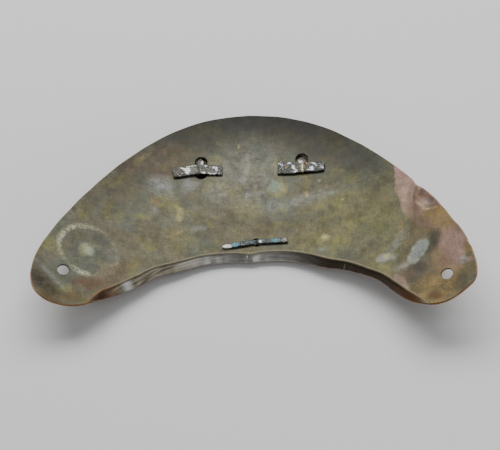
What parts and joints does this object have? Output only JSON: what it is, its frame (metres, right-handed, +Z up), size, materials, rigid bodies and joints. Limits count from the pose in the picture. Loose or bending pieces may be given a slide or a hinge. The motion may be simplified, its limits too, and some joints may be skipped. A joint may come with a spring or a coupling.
{
  "type": "gorget",
  "caption": "Crescent neck plate of thin bent brass with a turned-down neck flange, holes in its horns, and a front band held by split tenons bent over on the back.",
  "frame": {"origin": "middle of the footprint, on the surface that the gorget rests on", "axes": "+X from the left horn to the right horn as seen from the hollow side, +Y from the neck edge to the outer edge, +Z up out of the hollow side"},
  "size_m": [0.148, 0.0892, 0.0226],
  "materials": {
    "patinated_brass": "olive-brown patina with copper patches, pale stains and a worn edge",
    "badge_brass": "dulled brass",
    "tinned_brass": "dark brass with chipped grey-white tin",
    "verdigris_brass": "dark brass with blue-green verdigris"
  },
  "bodies": {
    "root": {"plate": "patinated_brass", "front_badge": "badge_brass", "tenon_left": "tinned_brass", "tenon_right": "tinned_brass", "tenon_neck": "verdigris_brass"}
  },
  "joints": []
}
